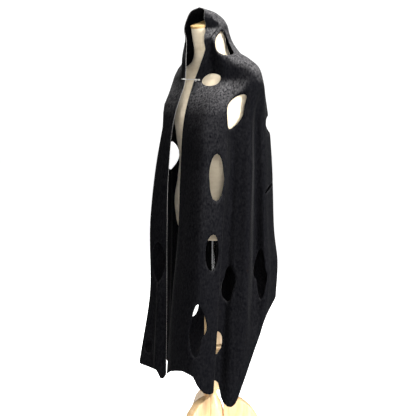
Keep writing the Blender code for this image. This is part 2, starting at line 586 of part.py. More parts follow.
for number, bearing in enumerate(LEG_BEARINGS, 1):
    stand_leg(f"stand_leg_{number}", bearing, beech)
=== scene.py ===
# A long hooded cape of thick felted wool with round cut-outs, on a limbless dress form.
# Metres, +Z up, floor at z = 0. The cape opens towards -Y; the wearer's left is +X.
import math

import bmesh
import bpy
import numpy as np
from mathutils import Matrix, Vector
from mathutils.geometry import delaunay_2d_cdt


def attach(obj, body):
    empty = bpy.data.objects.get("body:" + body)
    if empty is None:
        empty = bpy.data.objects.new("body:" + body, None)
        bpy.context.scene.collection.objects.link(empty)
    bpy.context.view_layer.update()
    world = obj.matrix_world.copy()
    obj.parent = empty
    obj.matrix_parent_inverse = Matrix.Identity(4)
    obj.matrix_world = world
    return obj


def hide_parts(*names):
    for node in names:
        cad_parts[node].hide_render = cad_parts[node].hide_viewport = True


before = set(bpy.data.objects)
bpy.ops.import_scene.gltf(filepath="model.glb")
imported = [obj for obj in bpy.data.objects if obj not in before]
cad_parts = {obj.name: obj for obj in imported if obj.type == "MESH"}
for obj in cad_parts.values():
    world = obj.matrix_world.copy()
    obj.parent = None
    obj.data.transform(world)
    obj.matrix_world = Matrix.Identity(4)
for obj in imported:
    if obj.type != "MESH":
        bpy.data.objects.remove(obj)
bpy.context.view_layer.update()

bpy.ops.object.select_all(action="DESELECT")

# The studio: a pale floor, a white surround, a soft lamp high over the shoulders, one at the
# wearer's left for the folds turned to it, and two weak ones in front and behind.
STAND_X, STAND_Y = 0.0103, 0.0532      # the stand's axis
CAMERA_BEARING, CAMERA_AWAY, CAMERA_UP = math.radians(41.01), 3.157, 1.246
CAMERA_DIP, CAMERA_ASIDE = 5.968, math.radians(0.348)
PHOTO_SIDE, FOCAL_PIXELS, FILM_SIDE = 416, 899.85, 36      # pixels, pixels and mm
FLOOR_SIZE, FLOOR_LIFT = 40, 0.92
ROOM_LIGHT, SEEN_LIGHT = 0.09, 1.15    # what the surround lights, and how bright it looks
LAMP_AIM = 1.1


def plain_surface(name, colour, rough, metal=0.0):
    """A new material and its shader, with the values that are the same all over it."""
    finish = bpy.data.materials.new(name)
    finish.use_nodes = True
    shader = finish.node_tree.nodes["Principled BSDF"]
    shader.inputs["Base Color"].default_value = (*colour, 1)
    shader.inputs["Roughness"].default_value = rough
    shader.inputs["Metallic"].default_value = metal
    return finish, shader


def worked(owner, operation, *values):
    """The result of a sum on sockets and plain numbers, in a material."""
    step = owner.node_tree.nodes.new("ShaderNodeMath")
    step.operation = operation
    for socket, value in zip(step.inputs, values):
        if isinstance(value, float):
            socket.default_value = value
        else:
            owner.node_tree.links.new(value, socket)
    return step.outputs["Value"]


def mapped(owner, value, start=(0, 1), end=(0, 1), way="LINEAR"):
    """A value carried from one range to another, in a material or in the surround."""
    step = owner.node_tree.nodes.new("ShaderNodeMapRange")
    step.interpolation_type = way
    for name, number in zip(("From Min", "From Max", "To Min", "To Max"), (*start, *end)):
        step.inputs[name].default_value = number
    owner.node_tree.links.new(value, step.inputs["Value"])
    return step.outputs["Result"]


camera_data = bpy.data.cameras.new("studio_camera")
camera_data.lens = FOCAL_PIXELS / PHOTO_SIDE * FILM_SIDE
camera_data.sensor_width = FILM_SIDE
camera = bpy.data.objects.new("studio_camera", camera_data)
bpy.context.scene.collection.objects.link(camera)
camera.location = (STAND_X + CAMERA_AWAY * math.sin(CAMERA_BEARING),
                   STAND_Y - CAMERA_AWAY * math.cos(CAMERA_BEARING), CAMERA_UP)
camera.rotation_euler = (math.radians(90 - CAMERA_DIP), 0, CAMERA_BEARING + CAMERA_ASIDE)
bpy.context.scene.camera = camera
bpy.context.scene.view_settings.view_transform = "Standard"

bpy.ops.mesh.primitive_plane_add(size=FLOOR_SIZE, location=(0, 0, 0))
floor = bpy.context.object
floor.name = "studio_floor"
pale, pale_shader = plain_surface("pale_floor", (0.92, 0.92, 0.92), 0.9)
pale_shader.inputs["Emission Color"].default_value = (1, 1, 1, 1)
floor_seen = pale.node_tree.nodes.new("ShaderNodeLightPath")
floor_lift = worked(pale, "MULTIPLY", floor_seen.outputs["Is Camera Ray"], FLOOR_LIFT)
pale.node_tree.links.new(floor_lift, pale_shader.inputs["Emission Strength"])
floor.data.materials.append(pale)

surround = bpy.data.worlds.new("studio_surround")
bpy.context.scene.world = surround
surround.use_nodes = True
sky_nodes, sky_links = surround.node_tree.nodes, surround.node_tree.links
seen = sky_nodes.new("ShaderNodeLightPath")
strength = mapped(surround, seen.outputs["Is Camera Ray"], end=(ROOM_LIGHT, SEEN_LIGHT))
sky_links.new(strength, sky_nodes["Background"].inputs["Strength"])
sky_nodes["Background"].inputs["Color"].default_value = (1, 1, 1, 1)


def studio_lamp(name, bearing, up, away, size, watts):
    """A square lamp at a bearing round the stand, turned to the cape's middle."""
    lamp_data = bpy.data.lights.new(name, "AREA")
    lamp_data.energy = watts
    lamp_data.size = size
    lamp = bpy.data.objects.new(name, lamp_data)
    bpy.context.scene.collection.objects.link(lamp)
    turn = math.radians(bearing)
    lamp.location = (STAND_X + away * math.sin(turn), STAND_Y - away * math.cos(turn), up)
    aim = Vector((STAND_X, STAND_Y, LAMP_AIM)) - lamp.location
    lamp.rotation_euler = aim.to_track_quat("-Z", "Y").to_euler()


studio_lamp("key_lamp", bearing=75, up=3.9, away=0.75, size=1.0, watts=185)
studio_lamp("side_lamp", bearing=86, up=2.0, away=3.2, size=1.0, watts=200)
studio_lamp("front_lamp", bearing=46, up=1.45, away=3.5, size=0.9, watts=52)
studio_lamp("back_lamp", bearing=232, up=2.4, away=3.4, size=1.6, watts=60)

# The stand: a turned column and hub of varnished beech, three flat curved legs sawn from
# board, and the chromed rod that the form is raised on. The legs are doweled to the hub.
COLUMN_RADIUS, COLUMN_TOP, COLUMN_FOOT = 0.033, 0.60, 0.262
HUB_FOOT = 0.145
ROD_RADIUS, ROD_END, ROD_CHAMFER, FORM_BOTTOM = 0.008, 0.0072, 0.0011, 0.81
LEG_THICK = 0.032
LEG_BEARINGS = (4, 124, 244)
GAP = 0.0003           # between two pieces that meet


def grain_group():
    """Fine figure drawn out along one way, for a colour or for the height of a bump."""
    group = bpy.data.node_groups.new("drawn_grain", "ShaderNodeTree")
    face = group.interface
    face.new_socket("Scale", in_out="INPUT", socket_type="NodeSocketFloat")
    face.new_socket("Stretch", in_out="INPUT", socket_type="NodeSocketVector")
    face.new_socket("Value", in_out="OUTPUT", socket_type="NodeSocketFloat")
    nodes, links = group.nodes, group.links
    start, end = nodes.new("NodeGroupInput"), nodes.new("NodeGroupOutput")
    place = nodes.new("ShaderNodeTexCoord")
    drawn = nodes.new("ShaderNodeVectorMath")
    drawn.operation = "MULTIPLY"
    noise = nodes.new("ShaderNodeTexNoise")
    noise.inputs["Detail"].default_value = 6
    noise.inputs["Roughness"].default_value = 0.62
    links.new(place.outputs["Object"], drawn.inputs[0])
    links.new(start.outputs["Stretch"], drawn.inputs[1])
    links.new(drawn.outputs["Vector"], noise.inputs["Vector"])
    links.new(start.outputs["Scale"], noise.inputs["Scale"])
    links.new(noise.outputs["Fac"], end.inputs["Value"])
    return group


DRAWN_GRAIN = grain_group()


def add_grain(finish, scale, stretch):
    """Places the grain group in a material and gives back its value socket."""
    grain = finish.node_tree.nodes.new("ShaderNodeGroup")
    grain.node_tree = DRAWN_GRAIN
    grain.inputs["Scale"].default_value = scale
    grain.inputs["Stretch"].default_value = stretch
    return grain.outputs["Value"]


def spread(finish, value, low, high, stops):
    """Turns a value into a colour or a grey between two stops."""
    ramp = finish.node_tree.nodes.new("ShaderNodeValToRGB")
    ramp.color_ramp.elements[0].position, ramp.color_ramp.elements[1].position = low, high
    for element, colour in zip(ramp.color_ramp.elements, stops):
        element.color = (*colour, 1)
    finish.node_tree.links.new(value, ramp.inputs["Fac"])
    return ramp.outputs["Color"]


def vary(finish, shader, socket, value, low, high, stops):
    """Feeds one of the shader's sockets with a value spread between two stops."""
    finish.node_tree.links.new(spread(finish, value, low, high, stops), shader.inputs[socket])


def raise_bump(finish, shader, value, depth, amount=1.0):
    """Feeds a height of the given depth in metres to the surface."""
    bump = finish.node_tree.nodes.new("ShaderNodeBump")
    bump.inputs["Strength"].default_value = amount
    bump.inputs["Distance"].default_value = depth
    finish.node_tree.links.new(value, bump.inputs["Height"])
    finish.node_tree.links.new(bump.outputs["Normal"], shader.inputs["Normal"])


def varnished_beech():
    """Pale varnished wood with its figure along the height."""
    finish, shader = plain_surface("varnished_beech", (0.72, 0.50, 0.27), 0.38)
    shader.inputs["Coat Weight"].default_value = 0.25
    shader.inputs["Coat Roughness"].default_value = 0.2
    vary(finish, shader, "Base Color", add_grain(finish, 9, (9, 9, 1.1)), 0.3, 0.72,
         ((0.62, 0.38, 0.17), (0.83, 0.62, 0.36)))
    fine = add_grain(finish, 60, (8, 8, 0.6))
    raise_bump(finish, shader, fine, 0.0004, 0.5)
    return finish


BEECH = varnished_beech()


def settle(piece, node):
    """Puts a finished piece at the origin, on its body and in place of its CAD node."""
    bpy.ops.object.select_all(action="DESELECT")
    piece.select_set(True)
    bpy.context.view_layer.objects.active = piece
    bpy.ops.object.transform_apply(location=True, rotation=True, scale=True)
    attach(piece, "root")
    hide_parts(node)


def drawn_piece(name, sections, finish, node, sides=48, crease=38, arris=0.0):
    """A piece drawn out of a flat disc or board end, section by section. Each section has
    its middle's Y and Z, half its width along X, half its depth, and its tilt in degrees."""
    bpy.ops.object.select_all(action="DESELECT")
    y, z, width, depth, tilt = sections[0]
    start = (STAND_X, STAND_Y + y, z)
    if sides == 4:
        bpy.ops.mesh.primitive_plane_add(size=2, location=start)
    else:
        bpy.ops.mesh.primitive_circle_add(vertices=sides, radius=1, fill_type="NGON",
                                          location=start)
    piece = bpy.context.object
    piece.name = piece.data.name = name
    bpy.ops.object.mode_set(mode="EDIT")
    bpy.ops.mesh.select_all(action="SELECT")
    bpy.ops.transform.resize(value=(width, depth, 1), center_override=start)
    turn_section(tilt, start)
    for row in sections[1:]:
        middle = (STAND_X, STAND_Y + row[0], row[1])
        bpy.ops.mesh.extrude_region_move(
            TRANSFORM_OT_translate={"value": (0, row[0] - y, row[1] - z)})
        turn_section(-tilt, middle)
        bpy.ops.transform.resize(value=(row[2] / width, row[3] / depth, 1),
                                 center_override=middle)
        y, z, width, depth, tilt = row
        turn_section(tilt, middle)
    bpy.ops.mesh.select_all(action="SELECT")
    bpy.ops.mesh.normals_make_consistent(inside=False)
    bpy.ops.object.mode_set(mode="OBJECT")
    if arris:
        worn_edge = piece.modifiers.new("worn_edge", "BEVEL")
        worn_edge.width = arris
        worn_edge.segments = 3
        worn_edge.limit_method = "ANGLE"
        worn_edge.angle_limit = math.radians(50)
        bpy.ops.object.modifier_apply(modifier="worn_edge")
    bpy.ops.object.shade_smooth_by_angle(angle=math.radians(crease))
    piece.data.materials.append(finish)
    settle(piece, node)
    return piece


def turn_section(tilt, middle):
    """Turns what is selected about X; with no window the operator turns the other way."""
    if tilt:
        bpy.ops.transform.rotate(value=-math.radians(tilt), orient_axis="X",
                                 center_override=middle)


def lathe(profile):
    """Upright round sections from (radius, height) pairs."""
    return [(0, height, radius, radius, 0) for radius, height in profile]


RING_Z = 0.424
drawn_piece("turned_column", lathe((
    (0.021, COLUMN_FOOT + GAP), (0.0285, COLUMN_FOOT + 0.003), (0.0316, COLUMN_FOOT + 0.007),
    (COLUMN_RADIUS, COLUMN_FOOT + 0.013), (COLUMN_RADIUS, RING_Z - 0.009),
    (0.0322, RING_Z - 0.0075), (0.0336, RING_Z - 0.006), (0.0354, RING_Z - 0.0035),
    (0.0360, RING_Z), (0.0354, RING_Z + 0.0035), (0.0336, RING_Z + 0.006),
    (0.0322, RING_Z + 0.0075), (COLUMN_RADIUS, RING_Z + 0.009),
    (COLUMN_RADIUS, COLUMN_TOP - 0.05), (0.0322, COLUMN_TOP - 0.034),
    (0.0300, COLUMN_TOP - 0.021), (0.0262, COLUMN_TOP - 0.012), (0.0222, COLUMN_TOP - 0.006),
    (0.0198, COLUMN_TOP - 0.002), (0.0180, COLUMN_TOP))), BEECH, "stand_column")
drawn_piece("turned_hub", lathe((
    (0.0310, HUB_FOOT), (0.0352, HUB_FOOT + 0.003), (0.0372, HUB_FOOT + 0.009),
    (0.0372, COLUMN_FOOT - 0.088), (0.0368, COLUMN_FOOT - 0.082),
    (0.0340, COLUMN_FOOT - 0.067), (0.0296, COLUMN_FOOT - 0.053),
    (0.0246, COLUMN_FOOT - 0.041), (0.0192, COLUMN_FOOT - 0.031),
    (0.0148, COLUMN_FOOT - 0.022), (0.0128, COLUMN_FOOT - 0.015), (0.0126, COLUMN_FOOT - 0.010),
    (0.0140, COLUMN_FOOT - 0.005), (0.0160, COLUMN_FOOT - 0.001), (0.0158, COLUMN_FOOT))),
    BEECH, "stand_hub")

LEG_SPINE = (          # how far out, how high its middle is, its depth, its slope down
    (0.0378, 0.1965, 0.093, 0), (0.060, 0.1950, 0.091, 8), (0.084, 0.1880, 0.089, 22),
    (0.106, 0.1700, 0.086, 38), (0.126, 0.1440, 0.081, 49), (0.146, 0.1120, 0.075, 53),
    (0.168, 0.0810, 0.068, 52), (0.192, 0.0560, 0.060, 42), (0.218, 0.0370, 0.051, 30),
    (0.246, 0.0245, 0.042, 17), (0.274, 0.0175, 0.034, 9), (0.300, 0.0130, 0.026, 5),
    (0.316, 0.0095, 0.018, 3), (0.321, 0.0080, 0.012, 2),
)
legs = [drawn_piece("sawn_leg_1", [(-reach, height, LEG_THICK / 2, depth / 2, 90 + slope)
                                   for reach, height, depth, slope in LEG_SPINE],
                    BEECH, "stand_leg_1", sides=4, crease=35, arris=0.003)]
for number in (2, 3):
    legs.append(bpy.data.objects.new("sawn_leg_%d" % number, legs[0].data.copy()))
    bpy.context.scene.collection.objects.link(legs[-1])
    settle(legs[-1], "stand_leg_%d" % number)
for leg, bearing in zip(legs, LEG_BEARINGS):
    bpy.ops.object.select_all(action="DESELECT")
    leg.select_set(True)
    bpy.context.view_layer.objects.active = leg
    bpy.ops.object.mode_set(mode="EDIT")
    bpy.ops.mesh.select_all(action="SELECT")
    bpy.ops.transform.rotate(value=-math.radians(bearing), orient_axis="Z",
                             center_override=(STAND_X, STAND_Y, 0))
    bpy.ops.object.mode_set(mode="OBJECT")

chrome, chrome_shader = plain_surface("polished_chrome", (0.75, 0.75, 0.76), 0.16, 1.0)
vary(chrome, chrome_shader, "Roughness", add_grain(chrome, 300, (1, 1, 0.05)), 0.35, 0.75,
     ((0.12,) * 3, (0.26,) * 3))
drawn_piece("chromed_rod", lathe((
    (ROD_END, COLUMN_TOP + GAP), (ROD_RADIUS, COLUMN_TOP + ROD_CHAMFER),
    (ROD_RADIUS, FORM_BOTTOM - ROD_CHAMFER), (ROD_END, FORM_BOTTOM - GAP))), chrome,
    "stand_rod", sides=32)

# The dress form: a padded shell without arms or legs, covered in cream linen, and closed at
# the neck by a turned and gilded cap. Its sections are in cm, each tilt as a slope.
FORM_COLUMNS = ("z", "half_width", "half_depth", "back", "tilt")
FORM_SECTIONS = (
    (81.0, 9.6, 6.8, 0.0, 0), (81.6, 11.4, 8.0, 0.0, 0), (84.0, 13.6, 9.7, 0.0, 0),
    (89.0, 15.1, 10.9, 0.0, 0), (95.5, 15.5, 11.3, 0.0, 0), (102.0, 14.2, 10.6, 0.0, 0),
    (109.0, 13.3, 10.1, 0.0, 0), (117.0, 14.4, 10.7, -0.3, 0), (123.5, 15.0, 10.9, -0.6, 0),
    (128.0, 15.5, 9.8, -0.2, 0), (133.0, 16.4, 8.2, 0.3, 0), (137.0, 16.0, 7.0, 0.4, 0),
    (139.5, 14.2, 6.4, 0.2, 0), (141.3, 11.0, 5.9, -0.2, 0), (142.6, 8.4, 5.6, -0.7, 0.04),
    (144.2, 6.9, 5.8, -0.9, 0.1), (147.0, 5.8, 5.7, -1.4, 0.2), (151.0, 5.5, 5.5, -2.5, 0.3),
    (154.8, 5.4, 5.4, -3.5, 0.3),
)
NECK_LEAN, NECK_TOP, NECK_TILT = -3.5, 154.8, math.atan(0.3)
CM = 0.01


def spline_weights(knots, at):
    """The share that each knot's value has in a smooth curve read at the given places."""
    knots = np.asarray(knots, float)
    values = np.eye(len(knots))
    span = np.diff(knots)[:, None]
    slope = np.diff(values, axis=0) / span
    tangent = np.vstack([slope[:1], (slope[1:] * span[:-1] + slope[:-1] * span[1:])
                         / (span[1:] + span[:-1]), slope[-1:]])
    at = np.clip(np.asarray(at, float), knots[0], knots[-1])
    i = np.clip(np.searchsorted(knots, at, side="right") - 1, 0, len(knots) - 2)
    width = (knots[i + 1] - knots[i])[:, None]
    t = (at[:, None] - knots[i][:, None]) / width
    return ((2 * t**3 - 3 * t**2 + 1) * values[i] + (t**3 - 2 * t**2 + t) * width * tangent[i]
            + (3 * t**2 - 2 * t**3) * values[i + 1] + (t**3 - t**2) * width * tangent[i + 1])


def linen_cover():
    """Cream linen: two sets of threads that cross, and slubs here and there."""
    finish, shader = plain_surface("cream_linen", (0.80, 0.70, 0.54), 0.85)
    shader.inputs["Sheen Weight"].default_value = 0.15
    cloth_nodes, cloth_links = finish.node_tree.nodes, finish.node_tree.links
    place = cloth_nodes.new("ShaderNodeTexCoord")
    weave = []
    for way in ("X", "Z"):
        threads = cloth_nodes.new("ShaderNodeTexWave")
        threads.bands_direction = way
        threads.inputs["Scale"].default_value = 190
        threads.inputs["Distortion"].default_value = 1.2
        threads.inputs["Detail"].default_value = 2
        cloth_links.new(place.outputs["Object"], threads.inputs["Vector"])
        weave.append(threads.outputs["Fac"])
    raise_bump(finish, shader, worked(finish, "ADD", *weave), 0.0002, 0.6)
    vary(finish, shader, "Base Color", add_grain(finish, 14, (1, 1, 3)), 0.3, 0.7,
         ((0.63, 0.52, 0.36), (0.80, 0.70, 0.53)))
    return finish


form_columns = {name: np.array([row[i] for row in FORM_SECTIONS], float)
                for i, name in enumerate(FORM_COLUMNS)}
form_heights = np.concatenate([np.linspace(a, b, 4)[:-1] for a, b in
                               zip(form_columns["z"], form_columns["z"][1:])]
                              + [form_columns["z"][-1:]])
form_rows = spline_weights(form_columns["z"], form_heights) @ np.stack(
    [form_columns[name] for name in ("half_width", "half_depth", "back", "tilt")], axis=1)
drawn_piece("form_torso_cover",
            [(back * CM, height * CM, width * CM, depth * CM * math.sqrt(1 + tilt * tilt),
              math.degrees(math.atan(tilt)))
             for height, (width, depth, back, tilt) in zip(form_heights, form_rows.tolist())],
            linen_cover(), "form_torso", sides=72, crease=50)

gilt, gilt_shader = plain_surface("gilded_wood", (0.80, 0.55, 0.22), 0.32)
gilt_shader.inputs["Coat Weight"].default_value = 0.4
gilt_shader.inputs["Coat Roughness"].default_value = 0.15
vary(gilt, gilt_shader, "Base Color", add_grain(gilt, 40, (1, 1, 1)), 0.35, 0.7,
     ((0.62, 0.36, 0.12), (0.90, 0.70, 0.36)))
CAP_PROFILE = (        # radius, and height above the neck's end
    (0.0545, 0.0006), (0.0556, 0.0012), (0.0560, 0.0022), (0.0556, 0.0034), (0.0540, 0.0040),
    (0.0536, 0.0046), (0.0548, 0.0054), (0.0557, 0.0066), (0.0557, 0.0084), (0.0546, 0.0098),
    (0.0528, 0.0106), (0.0470, 0.0110), (0.0418, 0.0116), (0.0300, 0.0136), (0.0200, 0.0156),
    (0.0120, 0.0180), (0.0074, 0.0194), (0.0030, 0.0203),
)
drawn_piece("gilded_cap",
            [(NECK_LEAN * CM - height * math.sin(NECK_TILT),
              NECK_TOP * CM + height * math.cos(NECK_TILT), radius, radius,
              math.degrees(NECK_TILT)) for radius, height in CAP_PROFILE],
            gilt, "neck_cap", sides=64)

# The cape: thick black wool, felted so that it doesn't fray, cut from a wide curve with the
# hood in one with the shoulders. Its cut-outs are left with raw edges, and it hangs from the
# form's shoulders in deep folds. Run is the way down the cloth from the crown seam, in cm.
WOOL = 0.003          # how thick it is
UPPER_COLUMNS = ("run", "left_x", "left_y", "edge_z", "side_x", "side_y", "side_z",
                 "back_y", "back_z", "right_x", "right_y")
UPPER_SECTIONS = {
    "crest": (0, 0.02, -7.4, 160.6, 0.02, -2.0, 159.3, 3.2, 157.0, -0.02, -7.4),
    "crown": (4, 3.8, -8.4, 159.4, 3.9, -2.4, 158.4, 3.2, 155.9, -3.4, -8.0),
    "brow": (8, 5.6, -7.3, 156.6, 6.5, -2.8, 155.8, 3.6, 153.9, -5.1, -8.4),
    "temple": (12, 6.6, -6.2, 153.4, 7.3, -2.8, 152.6, 4.4, 151.3, -6.0, -8.6),
    "cheek": (16, 5.4, -9.4, 149.8, 8.0, -2.2, 149.2, 6.2, 148.6, -4.8, -9.0),
    "collar": (20, 4.6, -9.4, 146.2, 10.2, -1.5, 146.0, 8.0, 146.0, -4.3, -9.4),
    "shoulder_in": (25, 3.0, -9.4, 142.6, 14.4, -0.6, 143.6, 9.4, 142.8, -4.0, -9.9),
    "shoulder_out": (30, 1.0, -9.2, 139.0, 18.4, 0.0, 140.6, 11.0, 139.0, -3.8, -10.2),
    "chest_top": (35, -0.4, -9.8, 135.4, 19.8, 0.4, 135.8, 12.4, 134.5, -3.7, -10.8),
}
COLLAR_RUN = 24       # the seam between hood and body
DIAGONAL = 0.72       # how full the rounding is between side and back
UPPER_SHARES = (0, 0.25, 0.37, 0.5, 0.63, 0.75, 1)    # where those points lie round the cloth

# The hanging part, from the left front edge round the back to the right front edge, in cm.
# "share" places the fold along the upper sections, "tuck" pulls it in round the neck, the
# bearings and reaches give it at chest, hip and hem, and "hem_z" is the hem's height.
FOLD_COLUMNS = ("share", "tuck", "chest_at", "hip_at", "hem_at", "chest", "waist", "hip",
                "shin", "hem", "hem_z")
FOLDS = {
    "left_edge": (0.0, 0.0, -6.6, -0.8, -11.6, 13.1, 16.0, 18.0, 19.4, 20.4, 37.7),
    "left_flat": (0.045, -0.5, 12, 13, 6, 14.6, 18.4, 21.0, 22.8, 23.8, 40.2),
    "left_turn": (0.085, 0.9, 34.5, 32, 27, 18.2, 23.4, 27.0, 28.4, 28.2, 39.8),
    "left_ridge": (0.125, 1.1, 54.5, 47.5, 40.5, 17.2, 21.3, 23.8, 25.2, 25.6, 33.6),
    "left_return": (0.165, 0.3, 62, 46, 39, 16.6, 19.2, 20.2, 20.6, 20.4, 34.8),
    "recess": (0.20, 0.0, 70, 60, 48, 15.8, 15.0, 14.6, 14.6, 14.4, 34.0),
    "tip": (0.225, 0.0, 77, 69, 58, 16.6, 16.4, 16.4, 17.0, 17.9, 26.4),
    "arm_ridge": (0.25, 0.0, 87, 79, 75, 18.2, 19.0, 19.4, 19.4, 17.8, 34.0),
    "arm_back": (0.275, 0.0, 103, 106, 100, 16.4, 15.9, 15.8, 16.0, 17.6, 46.0),
    "side_fold": (0.305, 0.0, 108, 106, 108, 18.2, 19.0, 19.4, 20.0, 19.2, 53.0),
    "wing_inner": (0.335, 0.0, 120, 120, 120, 18.4, 19.6, 20.2, 21.0, 19.9, 56.0),
    "wing": (0.37, 0.0, 135, 135, 134, 18.8, 20.7, 21.5, 22.9, 22.4, 60.0),
    "wing_back": (0.41, 0.0, 149, 150, 150, 16.8, 19.4, 20.2, 21.0, 20.6, 56.0),
    "back_valley": (0.455, 0.0, 164, 165, 165, 14.4, 15.6, 16.6, 17.0, 17.4, 44.0),
    "centre_back": (0.50, 0.0, 180, 180, 180, 14.6, 17.6, 19.6, 20.6, 21.6, 35.0),
    "back_fold": (0.545, 0.0, 196, 195, 195, 14.4, 15.8, 16.8, 17.4, 17.8, 42.0),
    "right_wing_back": (0.59, 0.0, 211, 210, 210, 16.8, 19.4, 20.4, 21.4, 20.8, 40.0),
    "right_wing": (0.63, 0.0, 226, 226, 227, 18.6, 20.6, 21.4, 22.6, 22.0, 33.0),
    "right_recess": (0.68, 0.0, 246, 246, 248, 17.2, 16.6, 16.6, 17.0, 18.0, 30.0),
    "right_arm": (0.735, 0.0, 269, 270, 271, 17.8, 18.8, 19.4, 20.0, 20.4, 31.0),
    "right_valley": (0.79, 0.0, 288, 289, 291, 17.2, 17.6, 17.6, 18.2, 19.6, 36.4),
    "right_ridge": (0.85, 0.6, 307, 309, 310, 17.0, 20.4, 22.4, 22.8, 26.6, 36.8),
    "right_flat": (0.91, 1.3, 320, 322, 326, 15.8, 19.2, 20.6, 20.6, 22.6, 36.8),
    "right_curl": (0.96, 1.2, 329, 330, 337, 14.9, 18.0, 19.2, 21.0, 22.4, 36.4),
    "right_edge": (1.0, 0.0, 334.9, 337.3, 343.7, 14.4, 17.1, 17.9, 18.6, 19.6, 35.8),
}
CHEST_Z, WAIST_Z, HIP_Z = 125, 105, 85
BODY_RUNS = (46, 66, 86, 110, 134)    # chest, waist, hip, shin and hem
TUCKED = {"temple": 0.1, "cheek": 0.4, "collar": 0.9, "shoulder_in": 1.0, "shoulder_out": 0.7,
          "chest_top": 0.3}

# The hem is cut to its own curve: how much lower it is than the fold heights above, in cm.
HEM_COLUMNS = ("fold", "lower")
HEM_CUT = (
    (0, 2.4), (0.5, 2.2), (1, 1.9), (1.5, 1.0), (2, 1.2), (2.25, 3.4), (2.5, 3.5), (2.75, 2.3),
    (3, 1.1), (4, 0.5), (4.5, 0.7), (5, 1.4), (5.25, 4.6), (5.5, 3.6), (5.75, 1.8), (6, 1.2),
    (6.25, 2.0), (6.5, 3.1), (6.75, 3.3), (7, 2.4), (7.5, 1.5), (8, 1.3), (9, 0.8), (12, 0),
    (20, 0.6), (22, 1.4), (23, 0.4), (23.25, 1.2), (23.5, 3.0), (23.75, 3.0), (24, 1.3),
)
# The hood's left front edge is turned in towards the neck, and the right shoulder hangs in.
TURN_FOLDS = 0.7      # how far from the edge the turn reaches
AXIS_CLEAR = 0.03     # nearer the axis than this, a point is not pulled in by its full share
TURN_COLUMNS = ("run", "turn_x", "turn_y")
RIM_TURN = ((0, 0, 0), (2, 0, 0), (4, -0.3, -0.2), (8, -1.8, -1.9), (12, -3.2, -2.1),
            (16, -0.9, -0.4), (20, 0, 0), (134, 0, 0))
SHOULDER_COLUMNS = ("run", "inward")
SHOULDER_HANG = ((0, 0), (17, 0), (21, 1.1), (26, 2.9), (28.5, 3.2), (31, 2.8), (33, 2.0),
                 (35, 1.5), (37.5, 0.8), (40, 0), (43, -0.8), (46, -0.7), (51, 0), (134, 0))
SHOULDER_FOLDS = (17.2, 23.8)

# The cut-outs: place by fold, counted from the left front edge, and by height; the width and
# height of the cut along the cloth in cm, and its tilt in degrees.
HOLE_COLUMNS = ("fold", "z", "across", "tall", "tilt")
HOLES = {
    "hood_left": (4.59, 148.0, 7.1, 9.4, -10),
    "hood_back": (17.0, 148.5, 8.0, 8.0, 0),
    "collarbone": (1.38, 136.1, 7.2, 4.4, 10),
    "armpit": (4.6, 125.6, 6.5, 13.0, -10),
    "shoulder_back": (10.6, 120.8, 8.0, 6.4, 0),
    "hip": (2.59, 103.9, 5.6, 15.7, 0),
    "knee": (2.55, 79.6, 5.2, 12.1, 0),
    "ankle": (2.07, 54.0, 6.1, 18.1, 0),
    "recess_high": (5.45, 67.3, 5.2, 12.4, 0),
    "recess_low": (4.56, 47.2, 7.4, 8.1, 0),
    "arm_slit": (10.0, 98.9, 9.5, 1.4, 20),
    "wing_low": (8.54, 69.4, 5.0, 18.1, 0),
    "right_front": (22.52, 73.2, 7.8, 14.4, 0),
    "right_disc": (21.63, 42.6, 4.4, 4.4, 0),
    "right_waist": (19.6, 109.8, 10.5, 10.2, 0),
    "right_armpit": (19.9, 127.0, 8.0, 10.0, 0),
    "right_back_chest": (18.0, 127.0, 9.0, 9.0, 0),
    "right_knee": (18.16, 53.9, 8.6, 9.6, 0),
    "back_high": (15.3, 126.0, 9.5, 10.0, 0),
    "back_left": (12.3, 103.0, 10.0, 11.0, 0),
    "back_right": (16.0, 99.0, 10.0, 11.0, 0),
    "back_low": (12.8, 86.0, 8.0, 9.0, 0),
    "back_knee": (15.98, 75.5, 6.3, 5.3, 0),
    "back_hem": (15.3, 46.0, 8.0, 7.0, 0),
}
HOLE_SIDES, HOLE_STEPS = 44, 14


def table(columns, rows):
    """A named-column view of a table, one array for each column."""
    return {name: np.array([row[i] for row in rows], float) for i, name in enumerate(columns)}


def upper_row(section, share, tuck, tucked):
    """The points of one upper section at each fold, drawn through its named points."""
    s = dict(zip(UPPER_COLUMNS, section))
    slant_y = s["side_y"] + DIAGONAL * (s["back_y"] - s["side_y"])
    slant_z = (s["side_z"] + s["back_z"]) / 2
    corners = np.array([
        (s["left_x"], s["left_y"], s["edge_z"]),
        (s["side_x"], s["side_y"], s["side_z"]),
        (DIAGONAL * s["side_x"], slant_y, slant_z),
        (0, s["back_y"], s["back_z"]),
        (-DIAGONAL * s["side_x"], slant_y, slant_z),
        (-s["side_x"], s["side_y"], s["side_z"]),
        (s["right_x"], s["right_y"], s["edge_z"]),
    ])
    row = spline_weights(UPPER_SHARES, share) @ corners
    outward = row[:, :2] / np.maximum(np.linalg.norm(row[:, :2], axis=1), 1)[:, None]
    row[:, :2] += outward * (tuck * tucked)[:, None]
    return row


